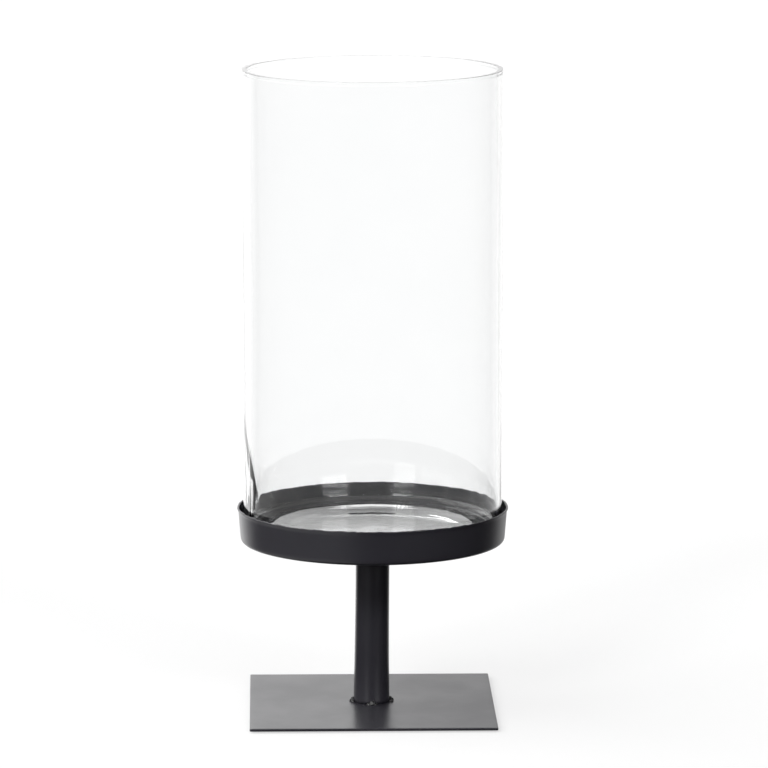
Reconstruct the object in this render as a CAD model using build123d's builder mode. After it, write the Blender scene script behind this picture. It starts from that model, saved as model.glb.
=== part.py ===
from build123d import *

import math
import os

# Hurricane candle lantern. A clear glass cylinder with a thick closed bottom stands loose in a
# round pressed-steel tray. A short steel tube carries the tray on a square steel base plate. The
# tube is tack-welded at both ends, and four thin pads keep the plate off the table.
#
# The frame: z = 0 is the table, +Z is up, and the Z axis is the common axis of the tube, the tray
# and the glass. The plate's sides run along X and Y. All sizes are in millimetres.

# Base plate and its pads
plate_side = 144.0
plate_thickness = 1.5
plate_corner_radius = 1.0
plate_edge_radius = 0.25
pad_diameter = 12.0
pad_thickness = 1.0
pad_inset = 13.0  # from the plate's sides to a pad's centre

# Stem tube
stem_diameter = 20.0
stem_flare = 0.7  # how much wider the tube's radius is at its foot
stem_flare_height = 72.0  # from the foot up to where the tube is straight
stem_wall = 1.2
stem_length = 97.0

# Tack welds, four at each end of the stem
tack_leg = 2.7
tack_span = 27.0  # degrees round the stem
tack_end_radius = 1.2
tack_count = 4

# Glass cylinder
glass_diameter = 152.0
glass_height = 277.5
glass_wall = 2.8
glass_floor = 6.0  # from the standing ring up to the middle of the inner floor
glass_heel_radius = 8.0  # outer corner at the bottom
glass_inner_corner_radius = 4.5
glass_flat_radius = 12.0  # the flat middle of the inner floor
glass_land_width = 11.5  # the level ring between the dished floor and the inner corner
glass_dish_rise = 3.3  # from the flat middle up to the level ring
glass_lip_radius = 0.5  # the flat lip's two melted edges
standing_ring_width = 5.0
kick_rise = 1.5  # how far the underside is hollowed at its middle

# Tray
tray_sheet = 1.2
tray_height = 20.5
tray_bend_radius = 2.7  # outside, where the floor turns up into the wall
tray_flare = 2.2  # how much wider the rim's radius is than the wall's foot
tray_edge_radius = 0.3

# Clearances
glass_side_clearance = 0.6  # between the glass and the foot of the tray's wall
glass_seat_clearance = 0.1  # paint between the glass and the tray's floor

# Sizes and places that follow from the values above
plate_underside = pad_thickness
plate_top = plate_underside + plate_thickness
tray_underside = plate_top + stem_length
tray_floor_top = tray_underside + tray_sheet
glass_seat = tray_floor_top + glass_seat_clearance
glass_radius = glass_diameter / 2
glass_inner_radius = glass_radius - glass_wall
glass_top = glass_seat + glass_height
tray_base_radius = glass_radius + glass_side_clearance + tray_sheet
tray_rim_radius = tray_base_radius + tray_flare
stem_radius = stem_diameter / 2
stem_foot_radius = stem_radius + stem_flare


def finish(part, name):
    """Labels a finished piece and writes it as one STEP file, named after its node."""
    part.label = name
    export_step(part, f"parts/{name}.step")


def tack_weld(direction, tube_radius, surface, side):
    """A short rounded bead in the corner between the stem and the flat surface at that height.

    direction is where the bead's middle lies round the stem, in degrees from +X, tube_radius is the
    stem's radius there, and side is 1 for a bead above the surface and -1 for one below it.
    """
    start = math.radians(direction - tack_span / 2)
    outward = (math.cos(start), math.sin(start), 0)
    across = (math.sin(start), -math.cos(start), 0)
    with BuildPart() as bead:
        with BuildSketch(Plane((0, 0, surface), x_dir=outward, z_dir=across)):
            with BuildLine():
                Line((tube_radius, 0), (tube_radius + tack_leg, 0))
                CenterArc((tube_radius, 0), tack_leg, 0, side * 90)
                Line((tube_radius, side * tack_leg), (tube_radius, 0))
            make_face()
        revolve(axis=Axis.Z, revolution_arc=tack_span)
        ends = bead.faces().filter_by(GeomType.PLANE).filter_by(Axis.Z, reverse=True).edges()
        fillet(ends.filter_by(GeomType.CIRCLE), tack_end_radius)
    return bead.part


os.makedirs("parts", exist_ok=True)

# Base plate: sheet steel with crisp corners, its top edges only just broken
with BuildPart() as base_plate:
    with BuildSketch(Plane.XY.offset(plate_underside)):
        RectangleRounded(plate_side, plate_side, plate_corner_radius)
    extrude(amount=plate_thickness)
    fillet(base_plate.faces().sort_by(Axis.Z)[-1].edges(), plate_edge_radius)
finish(base_plate.part, "base_plate")

# Pads: thin discs stuck under the plate's corners
pad_reach = plate_side / 2 - pad_inset
with GridLocations(2 * pad_reach, 2 * pad_reach, 2, 2) as pad_places:
    pad_centres = pad_places.locations
for number, centre in enumerate(pad_centres, start=1):
    with BuildPart() as foot_pad:
        with BuildSketch(Plane(centre)):
            Circle(pad_diameter / 2)
        extrude(amount=pad_thickness)
    finish(foot_pad.part, f"foot_pad_{number}")

# Stem: a tube between the plate and the tray, straight above and slightly flared at its foot
with BuildPart() as stem_tube:
    with BuildSketch(Plane.XZ):
        with BuildLine():
            flare_top = plate_top + stem_flare_height
            bore_radius = stem_radius - stem_wall
            outer_flare = TangentArc(
                (stem_radius, flare_top), (stem_foot_radius, plate_top), tangent=(0, -1)
            )
            inner_flare = TangentArc(
                (bore_radius, flare_top), (stem_foot_radius - stem_wall, plate_top), tangent=(0, -1)
            )
            Polyline(
                outer_flare @ 0,
                (stem_radius, tray_underside),
                (bore_radius, tray_underside),
                inner_flare @ 0,
            )
            Line(outer_flare @ 1, inner_flare @ 1)
        make_face()
    revolve(axis=Axis.Z)
finish(stem_tube.part, "stem_tube")

# Tack welds: on the plate's top round the stem's foot, and under the tray round its head
for number in range(1, tack_count + 1):
    direction = (number - 1) * 360 / tack_count
    finish(tack_weld(direction, stem_foot_radius, plate_top, 1), f"foot_tack_weld_{number}")
    finish(tack_weld(direction, stem_radius, tray_underside, -1), f"head_tack_weld_{number}")

# Tray: a pan pressed from one sheet, with a slightly flared wall
with BuildPart() as tray:
    with Locations((0, 0, tray_underside)):
        Cone(
            tray_base_radius,
            tray_rim_radius,
            tray_height,
            align=(Align.CENTER, Align.CENTER, Align.MIN),
        )
    fillet(tray.edges().sort_by(Axis.Z)[0], tray_bend_radius)
    offset(amount=-tray_sheet, openings=tray.faces().sort_by(Axis.Z)[-1])
    fillet(tray.faces().sort_by(Axis.Z)[-1].edges(), tray_edge_radius)
finish(tray.part, "tray")

# Glass: one revolved profile, from the hollowed underside round the heel, up to the flat lip with
# its melted edges and back down the inside to the dished floor
with BuildPart() as glass_cylinder:
    with BuildSketch(Plane.XZ):
        with BuildLine():
            ring_outer = glass_radius - glass_heel_radius
            ring_inner = ring_outer - standing_ring_width
            lip_foot = glass_top - glass_lip_radius
            floor_level = glass_seat + glass_floor
            land_level = floor_level + glass_dish_rise
            land_outer = glass_inner_radius - glass_inner_corner_radius
            land_inner = land_outer - glass_land_width
            corner_top = land_level + glass_inner_corner_radius
            TangentArc((0, glass_seat + kick_rise), (ring_inner, glass_seat), tangent=(1, 0))
            Line((ring_inner, glass_seat), (ring_outer, glass_seat))
            TangentArc(
                (ring_outer, glass_seat),
                (glass_radius, glass_seat + glass_heel_radius),
                tangent=(1, 0),
            )
            Line((glass_radius, glass_seat + glass_heel_radius), (glass_radius, lip_foot))
            outer_edge = TangentArc(
                (glass_radius, lip_foot), (glass_radius - glass_lip_radius, glass_top), tangent=(0, 1)
            )
            inner_edge = TangentArc(
                (glass_inner_radius, lip_foot),
                (glass_inner_radius + glass_lip_radius, glass_top),
                tangent=(0, 1),
            )
            Line(outer_edge @ 1, inner_edge @ 1)
            Line((glass_inner_radius, lip_foot), (glass_inner_radius, corner_top))
            TangentArc(
                (glass_inner_radius, corner_top), (land_outer, land_level), tangent=(0, -1)
            )
            Line((land_outer, land_level), (land_inner, land_level))
            TangentArc(
                (glass_flat_radius, floor_level), (land_inner, land_level), tangent=(1, 0)
            )
            Line((glass_flat_radius, floor_level), (0, floor_level))
            Line((0, floor_level), (0, glass_seat + kick_rise))
        make_face()
    revolve(axis=Axis.Z)
finish(glass_cylinder.part, "glass_cylinder")
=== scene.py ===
"""The looks of a hurricane candle lantern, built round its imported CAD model.

A clear glass cylinder with a thick closed bottom stands in a round black tray. A short tube on a
square plate carries the tray. Lengths are in metres, in the model's own frame: z = 0 is the table
and the Z axis is the common axis of the tube, the tray and the glass.
"""

import math

import bpy
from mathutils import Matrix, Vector, noise


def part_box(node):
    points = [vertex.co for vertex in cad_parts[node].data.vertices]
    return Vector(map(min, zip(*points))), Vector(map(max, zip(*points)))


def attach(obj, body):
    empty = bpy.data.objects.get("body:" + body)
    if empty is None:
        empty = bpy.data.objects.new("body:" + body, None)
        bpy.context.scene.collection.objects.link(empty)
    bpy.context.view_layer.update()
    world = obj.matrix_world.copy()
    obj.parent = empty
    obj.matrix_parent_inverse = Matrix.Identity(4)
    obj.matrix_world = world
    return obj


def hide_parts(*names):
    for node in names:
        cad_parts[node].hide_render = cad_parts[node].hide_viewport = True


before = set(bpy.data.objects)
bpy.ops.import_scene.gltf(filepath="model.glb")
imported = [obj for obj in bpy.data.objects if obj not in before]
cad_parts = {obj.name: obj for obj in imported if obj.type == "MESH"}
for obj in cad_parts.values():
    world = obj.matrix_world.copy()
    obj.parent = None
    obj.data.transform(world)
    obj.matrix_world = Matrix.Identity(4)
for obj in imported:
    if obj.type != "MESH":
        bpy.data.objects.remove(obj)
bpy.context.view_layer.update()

MM = 0.001

# Camera
LENS_MM = 243.3
CAMERA_DISTANCE = 3.042
CAMERA_AZIMUTH = -1.3  # degrees, from -Y towards +X
CAMERA_ELEVATION = 9.53
AIM_HEIGHT = 0.1926
AIM_RIGHT = 0.0067  # from the lantern's axis to the middle of the picture

# Light: radiance as seen by the glossy surfaces, where 1 is the picture's white
BACKDROP = 2.1  # behind the lantern
BACKDROP_EDGES = (0.55, 0.88)  # from dark to lit, as the cosine of the angle from straight behind
BACKDROP_TOP = (20, 36)  # degrees of elevation over which it fades
BACKDROP_FADE = 0.4
BACKDROP_TURN = (-0.12, 0.16)  # where it darkens from -X to +X, as the direction's X
BACKDROP_RIGHT = 0.66  # how much of it is left towards +X
CEILING = 0.75
CEILING_EDGES = (42, 60)  # degrees of elevation
ROOM = 0.03
FLOOR_HALF = 60  # metres
FLOOR_WHITE = 0.4
FLOOR_GLOW = 1.46  # the sweep is lit through from behind
# Each panel's azimuths from -Y towards +X, its elevations and its soft edge, in degrees, and its radiance
PANELS = {
    "key_left": ((-140, -46), (16, 55), 8, 3.2),
    "softbox_left": ((-41, -20), (5, 42), 2, 4.4),
    "softbox_right": ((22, 46), (5, 16), 2, 5.4),
    "lamp_left": ((-39, -22), (26, 36), 2, 17.0),
    "lamp_right": ((24, 44), (26, 36), 2, 17.0),
    "front_fill": ((-70, 30), (40, 80), 12, 0.6),
    "table_left": ((-125, -20), (-60, -21), 14, 0.9),
}

# Glass, as in the CAD model
GLASS_WALL = 2.8 * MM
GLASS_FLOOR = 6.0 * MM
GLASS_HEEL_RADIUS = 8.0 * MM
GLASS_CORNER_RADIUS = 4.5 * MM
GLASS_FLAT_RADIUS = 12.0 * MM
GLASS_LAND_WIDTH = 11.5 * MM
GLASS_DISH_RISE = 3.3 * MM
GLASS_LIP_RADIUS = 0.3 * MM  # a little sharper than the CAD's
STANDING_RING_WIDTH = 5.0 * MM
KICK_RISE = 1.5 * MM
CREASE_GUARD = 0.04 * MM  # from a tight curve's end to the next points, where its shading stops
GLASS_SEGMENTS = 256

# What the hand-made glass shows
DRAW_LINE_DEPTH = 0.03 * MM
FLOOR_WAVE = 0.03 * MM
FLOOR_STEP = 0.32 * MM  # a shallow step in the dished floor, at its +Y side
FLOOR_STEP_DOWN = (35 * MM, 43 * MM)  # from the axis
FLOOR_STEP_UP = (43 * MM, 57 * MM)
FLOOR_STEP_SPREAD = (30, 12)  # degrees from +Y over which it sets in
BASE_WAVE = 0.12 * MM
LIP_LINE_DROP = 2.0 * MM  # the fine groove that melting the lip leaves below it
LIP_LINE_SIZE = 0.2 * MM
LIP_TILT = 0.3 * MM  # how much lower the lip is on its -X side
GATHER_DEPTH = 0.65 * MM  # the lump of thicker glass at the foot of the -X side
GATHER_HEIGHT = 62.0 * MM
GATHER_SPREAD = 29.0  # degrees to each side

# Steel, as in the CAD model
TRAY_SHEET = 1.2 * MM
TRAY_BEND_RADIUS = 2.7 * MM
TRAY_FLARE = 2.2 * MM
STEM_WALL = 1.2 * MM
STEM_FLARE = 0.7 * MM
STEM_FLARE_HEIGHT = 72.0 * MM
PLATE_CORNER_RADIUS = 1.0 * MM
STEEL_EDGE_RADIUS = 0.28 * MM  # these two are the edges with their paint
TRAY_EDGE_RADIUS = 0.5 * MM
TRAY_SEGMENTS = 288
STEM_SEGMENTS = 144
PAD_SEGMENTS = 64

# What the hand-made steel shows
FOOT_LEAN = 0.65 * MM  # the plate and the tube's foot stand this much towards -X
RIM_WAVE = 0.55 * MM
PLATE_WAVE = 0.04 * MM
STEM_WAVE = 0.05 * MM
DRY_SPRAY = (-0.03, 0.05)  # where the paint goes from smooth to slightly rougher, along X
WELD_MIDDLE = 1.35 * MM  # from the tube to the middle of a tack weld
# The lumps of a tack weld: each one's place round the tube in degrees, how far out from the tube it
# sits, its radius and its height, the last three in mm
WELD_LUMPS = ((0, 0.4, 2.0, 2.5), (-9, 0.7, 1.5, 1.4), (10, 0.6, 1.4, 1.2), (-20, 2.4, 0.5, 0.4))


# ---------------------------------------------------------------- mesh helpers


def ease(value, start, end):
    """0 before start, 1 after end and a smooth step between them; start may lie after end."""
    t = min(max((value - start) / (end - start), 0.0), 1.0)
    return t * t * (3 - 2 * t)


def ripple(x, y, z):
    """Smooth repeatable noise from -1 to 1."""
    return noise.noise(Vector((x, y, z)))


def new_piece(name, vertices, faces, material, body, slot):
    mesh = bpy.data.meshes.new(name)
    mesh.from_pydata(vertices, [], faces)
    mesh.polygons.foreach_set("use_smooth", [True] * len(mesh.polygons))
    mesh.materials.append(material)
    mesh.update()
    piece = bpy.data.objects.new(name, mesh)
    bpy.context.scene.collection.objects.link(piece)
    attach(piece, body)
    return piece


def skin(rings):
    """Joins rings of points into one closed surface. The first and last may be a single point."""
    vertices, faces, index = [], [], []
    for ring in rings:
        index.append(range(len(vertices), len(vertices) + len(ring)))
        vertices.extend(ring)
    pairs = list(zip(index, index[1:]))
    if len(index[0]) > 1:
        pairs.append((index[-1], index[0]))
    for lower, upper in pairs:
        count = max(len(lower), len(upper))
        for step in range(count):
            after = (step + 1) % count
            if len(lower) == 1:
                faces.append((lower[0], upper[after], upper[step]))
            elif len(upper) == 1:
                faces.append((lower[step], lower[after], upper[0]))
            else:
                faces.append((lower[step], lower[after], upper[after], upper[step]))
    return vertices, faces


def turned(profile, segments):
    """Rings of a surface of revolution about Z, from a profile of (radius, z)."""
    rings = []
    for radius, z in profile:
        if radius < 1e-7:
            rings.append([(0.0, 0.0, z)])
            continue
        turn = 2 * math.pi / segments
        rings.append(
            [(radius * math.cos(turn * n), radius * math.sin(turn * n), z) for n in range(segments)]
        )
    return rings


def arc(centre, radius, start, end, steps):
    """Points on an arc from start to end, both included, in degrees."""
    points = []
    for step in range(steps + 1):
        angle = math.radians(start + (end - start) * step / steps)
        points.append((centre[0] + radius * math.cos(angle), centre[1] + radius * math.sin(angle)))
    return points


def line(start, end, steps):
    """Points on a line, without its two ends."""
    return [
        tuple(a + (b - a) * step / steps for a, b in zip(start, end)) for step in range(1, steps)
    ]


def mark_edges(piece, test):
    """Stores how worn each point's edge may be, from 0 to 1, for the paint to read."""
    layer = piece.data.attributes.new("edge", "FLOAT", "POINT")
    layer.data.foreach_set("value", [test(*vertex.co) for vertex in piece.data.vertices])


# ---------------------------------------------------------------- material helpers


class Nodes:
    """Builds a node tree with short calls: add() makes a node, sets its inputs and links them."""

    def __init__(self, data):
        data.use_nodes = True
        self.tree = data.node_tree
        self.tree.nodes.clear()

    def add(self, kind, inputs=None, **settings):
        node = self.tree.nodes.new(kind)
        for name, value in settings.items():
            setattr(node, name, value)
        for key, value in (inputs or {}).items():
            if isinstance(value, bpy.types.NodeSocket):
                self.tree.links.new(value, node.inputs[key])
            else:
                node.inputs[key].default_value = value
        return node

    def noise(self, vector, scale, detail=2.0, roughness=0.5):
        inputs = {"Vector": vector, "Scale": scale, "Detail": detail, "Roughness": roughness}
        return self.add("ShaderNodeTexNoise", inputs).outputs["Fac"]

    def ramp(self, value, start, end, low, high):
        """A smooth step from low to high as value goes from start to end."""
        inputs = {"Value": value, "From Min": start, "From Max": end, "To Min": low, "To Max": high}
        node = self.add("ShaderNodeMapRange", inputs, interpolation_type="SMOOTHSTEP")
        return node.outputs["Result"]

    def math(self, operation, a, b=0.0):
        return self.add("ShaderNodeMath", {0: a, 1: b}, operation=operation).outputs["Value"]

    def mix(self, factor, a, b):
        inputs = {"Factor": factor, "A": a, "B": b}
        return self.add("ShaderNodeMix", inputs).outputs["Result"]

    def mix_color(self, factor, a, b):
        node = self.add("ShaderNodeMix", data_type="RGBA")
        for socket, value in (("Factor_Float", factor), ("A_Color", a), ("B_Color", b)):
            target = next(s for s in node.inputs if s.identifier == socket)
            if isinstance(value, bpy.types.NodeSocket):
                self.tree.links.new(value, target)
            else:
                target.default_value = value
        return next(s for s in node.outputs if s.identifier == "Result_Color")

    def bump(self, height, distance, strength=1.0, normal=None):
        inputs = {"Height": height, "Distance": distance, "Strength": strength}
        if normal:
            inputs["Normal"] = normal
        return self.add("ShaderNodeBump", inputs).outputs["Normal"]

    def surface(self, **inputs):
        shader = self.add(
            "ShaderNodeBsdfPrincipled", {key.replace("_", " "): value for key, value in inputs.items()}
        )
        self.add("ShaderNodeOutputMaterial", {"Surface": shader.outputs["BSDF"]})

    def place(self):
        return self.add("ShaderNodeTexCoord").outputs["Object"]


def new_material(name):
    material = bpy.data.materials.new(name)
    return material, Nodes(material)


# ---------------------------------------------------------------- materials


def clear_glass():
    """Clear soda-lime glass, very slightly uneven, with faint wipe marks."""
    material, nodes = new_material("clear_glass")
    place = nodes.place()
    stretched = nodes.add("ShaderNodeMapping", {"Vector": place, "Scale": (60, 60, 9)}).outputs["Vector"]
    sway = nodes.noise(stretched, 1.0, detail=2.0)
    wipes = nodes.noise(place, 24.0, detail=5.0, roughness=0.65)
    wiped = nodes.ramp(wipes, 0.3, 0.7, 0, 1)
    tint = nodes.mix_color(wiped, (0.985, 0.989, 0.99, 1), (0.992, 0.995, 0.995, 1))
    nodes.surface(
        Base_Color=tint,
        Roughness=nodes.ramp(wipes, 0.52, 0.75, 0.0, 0.012),
        IOR=1.52,
        Transmission_Weight=1.0,
        Normal=nodes.bump(sway, 0.00002, 0.5),
    )
    return material


def black_coat():
    """Satin black powder coat: fine grain over orange peel, with nibs, dust and rubbed edges."""
    material, nodes = new_material("black_coat")
    place = nodes.place()
    drift = nodes.noise(place, 22.0, detail=4.0, roughness=0.6)
    peel = nodes.noise(place, 330.0, detail=2.0)
    grain = nodes.noise(place, 1300.0, detail=3.0, roughness=0.6)
    nibs = nodes.ramp(nodes.noise(place, 420.0, detail=0.0), 0.76, 0.84, 0, 1)
    scuffs = nodes.noise(place, 900.0, detail=4.0, roughness=0.7)
    edge = nodes.add("ShaderNodeAttribute", attribute_name="edge").outputs["Fac"]
    worn = nodes.math("MULTIPLY", edge, nodes.ramp(scuffs, 0.5, 0.75, 0, 0.6))
    film = nodes.mix_color(drift, (0.0225, 0.0215, 0.0275, 1), (0.0275, 0.0265, 0.0335, 1))
    dusted = nodes.mix_color(nodes.ramp(grain, 0.62, 0.8, 0, 0.35), film, (0.05, 0.048, 0.046, 1))
    color = nodes.mix_color(worn, dusted, (0.06, 0.059, 0.058, 1))
    gloss = nodes.ramp(drift, 0.3, 0.7, 0.29, 0.335)
    across = nodes.add("ShaderNodeSeparateXYZ", {"Vector": place}).outputs["X"]
    dry = nodes.ramp(across, *DRY_SPRAY, 0, 0.06)
    rough = nodes.math("ADD", nodes.math("ADD", gloss, dry), nodes.math("MULTIPLY", worn, 0.12))
    swell = nodes.bump(peel, 0.00003, 0.4)
    pebble = nodes.bump(grain, 0.00002, 0.5, swell)
    nodes.surface(
        Base_Color=color,
        Roughness=rough,
        IOR=1.5,
        Normal=nodes.bump(nibs, 0.00005, 0.4, pebble),
    )
    return material


def weld_coat():
    """The same black film over a cooled bead: a little rougher, with scale showing on its crests."""
    material, nodes = new_material("weld_coat")
    place = nodes.place()
    scale = nodes.noise(place, 700.0, detail=4.0, roughness=0.65)
    grain = nodes.noise(place, 1900.0, detail=2.0)
    crests = nodes.ramp(scale, 0.45, 0.72, 0, 1)
    color = nodes.mix_color(crests, (0.016, 0.016, 0.017, 1), (0.045, 0.044, 0.043, 1))
    bead = nodes.bump(scale, 0.00012, 0.5)
    nodes.surface(
        Base_Color=color,
        Roughness=nodes.ramp(scale, 0.35, 0.7, 0.3, 0.45),
        IOR=1.5,
        Normal=nodes.bump(grain, 0.00004, 0.6, bead),
    )
    return material


def pad_foam():
    """Matt black foam rubber with open pores."""
    material, nodes = new_material("pad_foam")
    place = nodes.place()
    pores = nodes.add("ShaderNodeTexVoronoi", {"Vector": place, "Scale": 2600.0}).outputs["Distance"]
    cells = nodes.noise(place, 1500.0, detail=3.0)
    skin_share = nodes.ramp(pores, 0.1, 0.5, 0, 1)
    color = nodes.mix_color(skin_share, (0.008, 0.008, 0.008, 1), (0.03, 0.03, 0.031, 1))
    nodes.surface(
        Base_Color=color,
        Roughness=nodes.ramp(cells, 0.3, 0.7, 0.82, 0.95),
        Normal=nodes.bump(pores, 0.0002, 0.8),
    )
    return material


# ---------------------------------------------------------------- glass


def glass_profile(radius, seat, top):
    """The glass's outline, from the middle of the underside round the wall to the inner floor."""
    inner = radius - GLASS_WALL
    lip = GLASS_LIP_RADIUS
    ring_outer = radius - GLASS_HEEL_RADIUS
    ring_inner = ring_outer - STANDING_RING_WIDTH
    floor_level = seat + GLASS_FLOOR
    land_level = floor_level + GLASS_DISH_RISE
    land_outer = inner - GLASS_CORNER_RADIUS
    land_inner = land_outer - GLASS_LAND_WIDTH

    dome = (ring_inner**2 + KICK_RISE**2) / (2 * KICK_RISE)
    profile = [(0, seat + KICK_RISE)]
    for r in [ring_inner * step / 24 for step in range(1, 25)]:
        profile.append((r, seat + KICK_RISE - dome + math.sqrt(dome**2 - r**2)))
    profile += [(ring_outer, seat)]
    profile += arc((ring_outer, seat + GLASS_HEEL_RADIUS), GLASS_HEEL_RADIUS, -90, 0, 16)[1:]
    mark, size = top - LIP_LINE_DROP, LIP_LINE_SIZE
    profile += [(radius, profile[-1][1] + CREASE_GUARD)]
    profile += line(profile[-1], (radius, mark - size - CREASE_GUARD), 72)
    profile += [(radius, mark - size - CREASE_GUARD), (radius, mark - size), (radius - size, mark)]
    profile += [(radius, mark + size), (radius, mark + size + CREASE_GUARD)]
    profile += [(radius, top - lip - CREASE_GUARD)]
    profile += arc((radius - lip, top - lip), lip, 0, 90, 7)
    profile += [(radius - lip - CREASE_GUARD, top), (inner + lip + CREASE_GUARD, top)]
    profile += arc((inner + lip, top - lip), lip, 90, 180, 7)
    corner = arc((land_outer, land_level + GLASS_CORNER_RADIUS), GLASS_CORNER_RADIUS, 0, -90, 14)
    wall_top, wall_low = (inner, top - lip - CREASE_GUARD), (inner, corner[0][1] + CREASE_GUARD)
    profile += [wall_top] + line(wall_top, wall_low, 72) + [wall_low] + corner
    profile += line(corner[-1], (land_inner, land_level), 6) + [(land_inner, land_level)]
    run = land_inner - GLASS_FLAT_RADIUS
    bowl = (run**2 + GLASS_DISH_RISE**2) / (2 * GLASS_DISH_RISE)
    for r in [run * (1 - step / 40) for step in range(1, 40)]:
        profile.append((GLASS_FLAT_RADIUS + r, floor_level + bowl - math.sqrt(bowl**2 - r**2)))
    profile += [(GLASS_FLAT_RADIUS, floor_level), (GLASS_FLAT_RADIUS / 2, floor_level), (0, floor_level)]
    return profile


def make_glass(material):
    low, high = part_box("glass_cylinder")
    radius, seat, top = high.x, low.z, high.z
    profile = glass_profile(radius, seat, top)
    wall_foot = seat + GLASS_FLOOR + GLASS_DISH_RISE + GLASS_CORNER_RADIUS

    def blown(x, y, z):
        """Moves a point of the true shape to where the hand-made glass has it."""
        r = math.hypot(x, y)
        if r < 1e-6:
            return (x, y, z)
        c, s = x / r, y / r
        if z < wall_foot and (r < radius - GLASS_WALL or z < seat + GLASS_HEEL_RADIUS):
            swell = 1 + ripple(45 * x, 45 * y, 3) + 0.6 * ripple(130 * x, 130 * y, 6)
            if z > seat + KICK_RISE + MM and r < radius - GLASS_WALL:
                rear = ease(math.degrees(abs(math.atan2(x, y))), *FLOOR_STEP_SPREAD)
                step = ease(r, *FLOOR_STEP_DOWN) - ease(r, *FLOOR_STEP_UP)
                wave = FLOOR_WAVE * (swell - 1) * ease(r, 20 * MM, 45 * MM)
                return (x, y, z + wave - FLOOR_STEP * step * rear)
            calm = ease(r, 0, 30 * MM) * ease(z, seat, seat + MM / 2)
            return (x, y, z + BASE_WAVE * max(swell, 0) * calm)
        depth = ease(r, radius, radius - GLASS_WALL)
        rise = ease(z, wall_foot - 2 * MM, wall_foot + 20 * MM)
        line_up = ripple(14 * c, 14 * s, 7 * z) + 0.5 * ripple(41 * c, 41 * s, 5 * z + 9)
        drawn = DRAW_LINE_DEPTH * (line_up + 1.5) * rise
        off = math.degrees(abs(math.atan2(y, -x)))
        climb = min(max((z - wall_foot) / GATHER_HEIGHT, 0.0), 1.0)
        width = GATHER_SPREAD * (0.45 + 0.55 * ease(climb, 0, 0.3)) * (1 - climb**1.5)
        streaks = 1 + 0.8 * ripple(70 * c, 70 * s, 30 * z) + 0.45 * ripple(190 * c, 190 * s, 70 * z)
        lump = GATHER_DEPTH * ease(off, width + 3, width - 3) * (1 - 0.6 * climb) * streaks
        lump *= ease(z, wall_foot - 3 * MM, wall_foot + 4 * MM)
        r -= drawn * (1 - depth) + depth * (lump - drawn)
        tilt = LIP_TILT * (1 - c) / 2 * ease(z, top - 60 * MM, top)
        return (r * c, r * s, z - tilt)

    rings = [[blown(*point) for point in ring] for ring in turned(profile, GLASS_SEGMENTS)]
    glass = new_piece("glass_body", *skin(rings), material, "glass", "clear_glass")
    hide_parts("glass_cylinder")


# ---------------------------------------------------------------- steel


def make_tray(material):
    low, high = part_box("tray")
    rim, foot, base, top = high.x, high.x - TRAY_FLARE, low.z, high.z
    tilt = math.degrees(math.atan(TRAY_FLARE / (top - base)))
    edge = TRAY_EDGE_RADIUS
    bend_outer = foot - TRAY_BEND_RADIUS
    bend_inner = TRAY_BEND_RADIUS - TRAY_SHEET
    bend_centre = (bend_outer, base + TRAY_BEND_RADIUS)

    profile = [(0, base)] + line((0, base), (bend_outer, base), 16)
    profile += arc(bend_centre, TRAY_BEND_RADIUS, -90, -tilt, 8)
    profile += line(profile[-1], (rim - edge, top - edge), 14)
    profile += arc((rim - edge, top - edge), edge, -tilt, 90, 5)
    profile += arc((rim - TRAY_SHEET + edge, top - edge), edge, 90, 180 - tilt, 5)
    inner_bend = arc(bend_centre, bend_inner, -tilt, -90, 8)
    profile += line(profile[-1], inner_bend[0], 14) + inner_bend
    floor = base + TRAY_SHEET
    profile += line(profile[-1], (0, floor), 16) + [(0, floor)]

    def pressed(x, y, z):
        """The wall is a little out of round, and its cut rim a little uneven under the paint."""
        r = math.hypot(x, y)
        up = ease(z, base + TRAY_BEND_RADIUS, top)
        if up <= 0:
            return (x, y, z)
        c, s = x / r, y / r
        out = RIM_WAVE * (ripple(2.2 * c, 2.2 * s, 3) - 1) / 2 * up
        lip = ease(z, top - 3 * MM, top)
        beads = 1.3 * max(ripple(16 * c, 16 * s, 8) - 0.12, 0) + 0.7 * ripple(46 * c, 46 * s, 2)
        sink = RIM_WAVE * (0.5 - 0.5 * ripple(3 * c, 3 * s, 5) - beads) * lip
        out += 0.25 * RIM_WAVE * beads * lip * (1 if r > rim - TRAY_SHEET / 2 else -1)
        return (c * (r + out), s * (r + out), z - max(sink, 0))

    rings = [[pressed(*point) for point in ring] for ring in turned(profile, TRAY_SEGMENTS)]
    tray = new_piece("tray_pan", *skin(rings), material, "stand", "black_coat")
    mark_edges(tray, lambda x, y, z: ease(z, top - 1.2 * MM, top - 0.2 * MM))
    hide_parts("tray")


def lean(z, foot, head):
    """How far the tube's axis stands from the Z axis at this height."""
    return -FOOT_LEAN * ease(z, head, foot)


def make_stem(material):
    low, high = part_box("stem_tube")
    foot, head, foot_radius = low.z, high.z, high.x
    radius = foot_radius - STEM_FLARE
    flare = (STEM_FLARE_HEIGHT**2 + STEM_FLARE**2) / (2 * STEM_FLARE)
    flare_top = foot + STEM_FLARE_HEIGHT

    def side(offset, z):
        """The tube's radius at this height, outside or inside."""
        drop = max(flare_top - z, 0)
        return (radius + offset + flare - math.sqrt(flare**2 - drop**2), z)

    steps = 48
    levels = [foot + (head - foot) * step / steps for step in range(steps + 1)]
    profile = [side(0, z) for z in levels] + [side(-STEM_WALL, z) for z in reversed(levels)]

    def drawn(x, y, z):
        r = math.hypot(x, y)
        c, s = x / r, y / r
        r += STEM_WAVE * ripple(1.6 * c, 1.6 * s, 40 * z) - STEM_WAVE
        return (r * c + lean(z, foot, head), r * s, z)

    rings = [[drawn(*point) for point in ring] for ring in turned(profile, STEM_SEGMENTS)]
    stem = new_piece("stem", *skin(rings), material, "stand", "black_coat")
    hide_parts("stem_tube")


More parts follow.
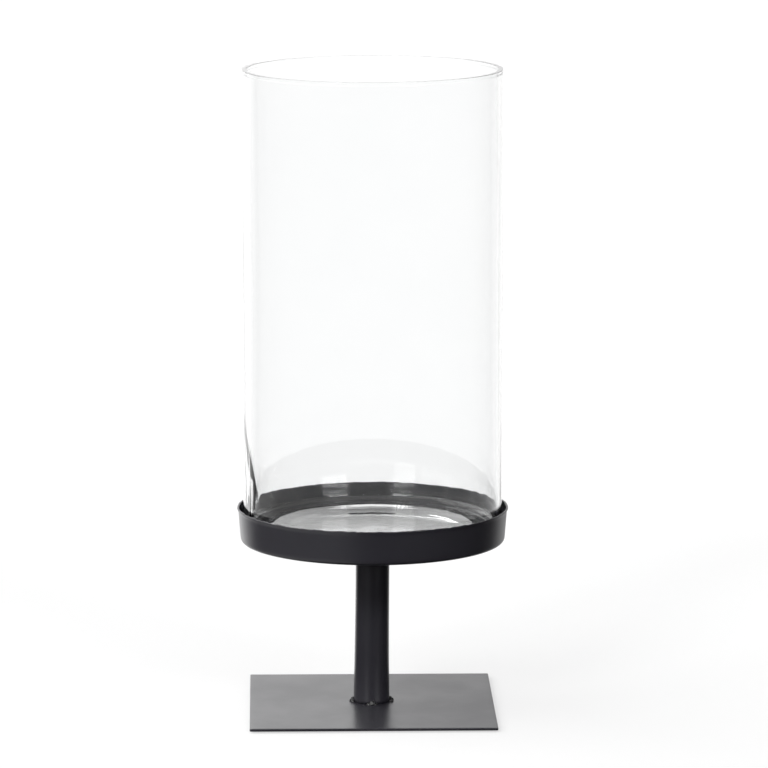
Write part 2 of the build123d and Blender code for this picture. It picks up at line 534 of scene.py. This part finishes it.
def rounded_square(half, corner, steps):
    """Points round a square with rounded corners, closer together in its corners."""
    points = []
    for turn in range(4):
        centre = half - corner
        for angle in [90 * step / steps for step in range(steps + 1)]:
            a = math.radians(angle)
            x, y = centre + corner * math.cos(a), centre + corner * math.sin(a)
            points.append(turn_quarter(x, y, turn))
        sides = 36
        for step in range(1, sides):
            points.append(turn_quarter(centre - 2 * centre * step / sides, half, turn))
    return points


def turn_quarter(x, y, turns):
    for _ in range(turns):
        x, y = -y, x
    return (x, y)


def make_plate(material):
    low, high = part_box("base_plate")
    half, under, top = high.x, low.z, high.z
    edge = STEEL_EDGE_RADIUS
    profile = [(share * half / 24, under) for share in range(24)]
    profile += arc((half - edge, under + edge), edge, -90, 0, 4)
    profile += arc((half - edge, top - edge), edge, 0, 90, 4)
    profile += [(share * half / 24, top) for share in range(23, -1, -1)]

    def rolled(x, y, z):
        """A cut plate that is not quite flat: it dips a little between its middle and its corners."""
        lift = PLATE_WAVE * (ripple(12 * x, 12 * y, 1) + 0.3 * ripple(35 * x, 35 * y, 4))
        calm = ease(math.hypot(x, y), 14 * MM, 30 * MM)
        corner = ease(abs(x) + abs(y), 2 * half - 44 * MM, 2 * half - 22 * MM)
        return (x - FOOT_LEAN, y, z - abs(lift) * calm * (1 - corner))

    rings = []
    for reach, z in profile:
        if reach < 1e-7:
            rings.append([rolled(0, 0, z)])
            continue
        corner = PLATE_CORNER_RADIUS * reach / half
        rings.append([rolled(x, y, z) for x, y in rounded_square(reach, corner, 6)])
    plate = new_piece("plate", *skin(rings), material, "stand", "black_coat")

    def worn(x, y, z):
        return ease(max(abs(x + FOOT_LEAN), abs(y)), half - 1.0 * MM, half - 0.15 * MM)

    mark_edges(plate, worn)
    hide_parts("base_plate")


def blob(centre, sizes, lumps, seed, rings=22, segments=32):
    """Rings of a lumpy ball, as cooled weld metal leaves it."""
    shape = []
    for step in range(rings + 1):
        polar = math.pi * step / rings
        count = 1 if step in (0, rings) else segments
        ring = []
        for n in range(count):
            turn = 2 * math.pi * n / segments
            flat = math.sin(polar)
            direction = Vector((flat * math.cos(turn), flat * math.sin(turn), -math.cos(polar)))
            coarse = ripple(*(2.1 * direction + Vector((seed, 0, 0))))
            swell = 1 + lumps * (coarse + 0.5 * ripple(*(5 * direction)))
            ring.append([centre[axis] + sizes[axis] * swell * direction[axis] for axis in range(3)])
        shape.append(ring)
    return shape


def make_welds(material):
    """Each tack weld is a lumpy bead in the corner, with a small drop of spatter beside it."""
    foot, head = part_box("stem_tube")[0].z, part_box("stem_tube")[1].z
    for name in [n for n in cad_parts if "tack_weld" in n]:
        low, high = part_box(name)
        middle = (low + high) / 2
        direction = Vector((middle.x, middle.y, 0)).normalized()
        below = "head" in name
        surface, side = (head, -1) if below else (foot, 1)
        seed = float(name.rsplit("_", 1)[1]) * 3.7 + (11 if below else 0)
        shift = lean(surface, foot, head)
        tube = math.hypot(middle.x, middle.y) - WELD_MIDDLE
        vertices, faces = [], []
        for number, (around, out, width, height) in enumerate(WELD_LUMPS):
            around += 5 * ripple(seed, number, 0)
            angle = math.atan2(direction.y, direction.x) + math.radians(around)
            reach = tube + out * MM
            centre = (reach * math.cos(angle) + shift, reach * math.sin(angle), surface)
            sizes = (width * MM, width * MM, height * MM)
            rings = blob(centre, sizes, 0.2, seed + number)
            part_vertices, part_faces = skin(rings)
            start = len(vertices)
            for x, y, z in part_vertices:
                z = max(z, surface - 0.05 * MM) if side > 0 else min(z, surface + 0.05 * MM)
                vertices.append((x, y, z))
            faces += [tuple(start + n for n in face) for face in part_faces]
        bead = new_piece(f"{name}_bead", vertices, faces, material, "stand", "black_coat")
        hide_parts(name)


def make_pads(material):
    """Foam pads whose lower edges are pressed round."""
    for name in [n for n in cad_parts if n.startswith("foot_pad")]:
        low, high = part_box(name)
        middle = (low + high) / 2
        radius, height = (high.x - low.x) / 2, high.z - low.z
        edge = 0.3 * height
        profile = [(0, low.z)] + line((0, low.z), (radius - edge, low.z), 8)
        profile += arc((radius - edge, low.z + edge), edge, -90, 0, 5)
        profile += [(radius - 0.04 * height, high.z - 0.1 * height), (radius - 0.12 * height, high.z)]
        profile += line((radius - 0.12 * height, high.z), (0, high.z), 4) + [(0, high.z)]
        rings = [
            [(x + middle.x - FOOT_LEAN, y + middle.y, z) for x, y, z in ring]
            for ring in turned(profile, PAD_SEGMENTS)
        ]
        pad = new_piece(f"{name}_foam", *skin(rings), material, "stand", "pad_foam")
        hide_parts(name)


# ---------------------------------------------------------------- studio


def make_floor():
    corners = [(x * FLOOR_HALF, y * FLOOR_HALF, 0) for x, y in ((-1, -1), (1, -1), (1, 1), (-1, 1))]
    mesh = bpy.data.meshes.new("floor")
    mesh.from_pydata(corners, [], [(0, 1, 2, 3)])
    floor = bpy.data.objects.new("floor", mesh)
    bpy.context.scene.collection.objects.link(floor)
    material, nodes = new_material("floor_white")
    white = (FLOOR_WHITE, FLOOR_WHITE, FLOOR_WHITE, 1)
    nodes.surface(
        Base_Color=white,
        Roughness=1.0,
        Specular_IOR_Level=0.0,
        Emission_Color=white,
        Emission_Strength=FLOOR_GLOW,
    )
    mesh.materials.append(material)
    floor.visible_glossy = False
    floor.visible_diffuse = False


def make_world():
    """A soft white surround: bright behind and above, panels at the sides, dark round the camera."""
    world = bpy.data.worlds.new("studio")
    bpy.context.scene.world = world
    nodes = Nodes(world)
    direction = nodes.add("ShaderNodeTexCoord").outputs["Generated"]
    axes = nodes.add("ShaderNodeSeparateXYZ", {"Vector": direction}).outputs
    toward = nodes.math("MULTIPLY", axes["Y"], -1)
    azimuth = nodes.math("MULTIPLY", nodes.math("ARCTAN2", axes["X"], toward), math.degrees(1))
    elevation = nodes.math("MULTIPLY", nodes.math("ARCSINE", axes["Z"]), math.degrees(1))

    def band(value, low, high, soft):
        """1 between low and high, with a smooth edge, and 0 outside."""
        rise = nodes.ramp(value, low - soft / 2, low + soft / 2, 0, 1)
        fall = nodes.ramp(value, high - soft / 2, high + soft / 2, 1, 0)
        return nodes.math("MULTIPLY", rise, fall)

    backdrop = nodes.ramp(elevation, *BACKDROP_TOP, BACKDROP, BACKDROP * BACKDROP_FADE)
    backdrop = nodes.math("MULTIPLY", backdrop, nodes.ramp(axes["X"], *BACKDROP_TURN, 1, BACKDROP_RIGHT))
    total = nodes.mix(nodes.ramp(axes["Y"], *BACKDROP_EDGES, 0, 1), ROOM, backdrop)
    total = nodes.math("ADD", total, nodes.ramp(elevation, *CEILING_EDGES, 0, CEILING))
    for across, up, soft, radiance in PANELS.values():
        panel = nodes.math("MULTIPLY", band(azimuth, *across, soft), band(elevation, *up, soft))
        total = nodes.math("ADD", total, nodes.math("MULTIPLY", panel, radiance))
    background = nodes.add("ShaderNodeBackground", {"Strength": total})
    nodes.add("ShaderNodeOutputWorld", {"Surface": background.outputs["Background"]})


def make_camera():
    azimuth, elevation = math.radians(CAMERA_AZIMUTH), math.radians(CAMERA_ELEVATION)
    back = Vector(
        (
            math.sin(azimuth) * math.cos(elevation),
            -math.cos(azimuth) * math.cos(elevation),
            math.sin(elevation),
        )
    )
    right = Vector((math.cos(azimuth), math.sin(azimuth), 0))
    data = bpy.data.cameras.new("camera")
    data.lens = LENS_MM
    data.sensor_width = 36
    data.clip_start, data.clip_end = 0.1, 200
    camera = bpy.data.objects.new("camera", data)
    camera.location = Vector((0, 0, AIM_HEIGHT)) + AIM_RIGHT * right + CAMERA_DISTANCE * back
    camera.rotation_euler = (-back).to_track_quat("-Z", "Y").to_euler()
    bpy.context.scene.collection.objects.link(camera)
    bpy.context.scene.camera = camera


make_camera()
make_glass(clear_glass())
coat = black_coat()
make_tray(coat)
make_stem(coat)
make_plate(coat)
make_welds(weld_coat())
make_pads(pad_foam())
make_floor()
make_world()
bpy.context.scene.view_settings.view_transform = "Standard"
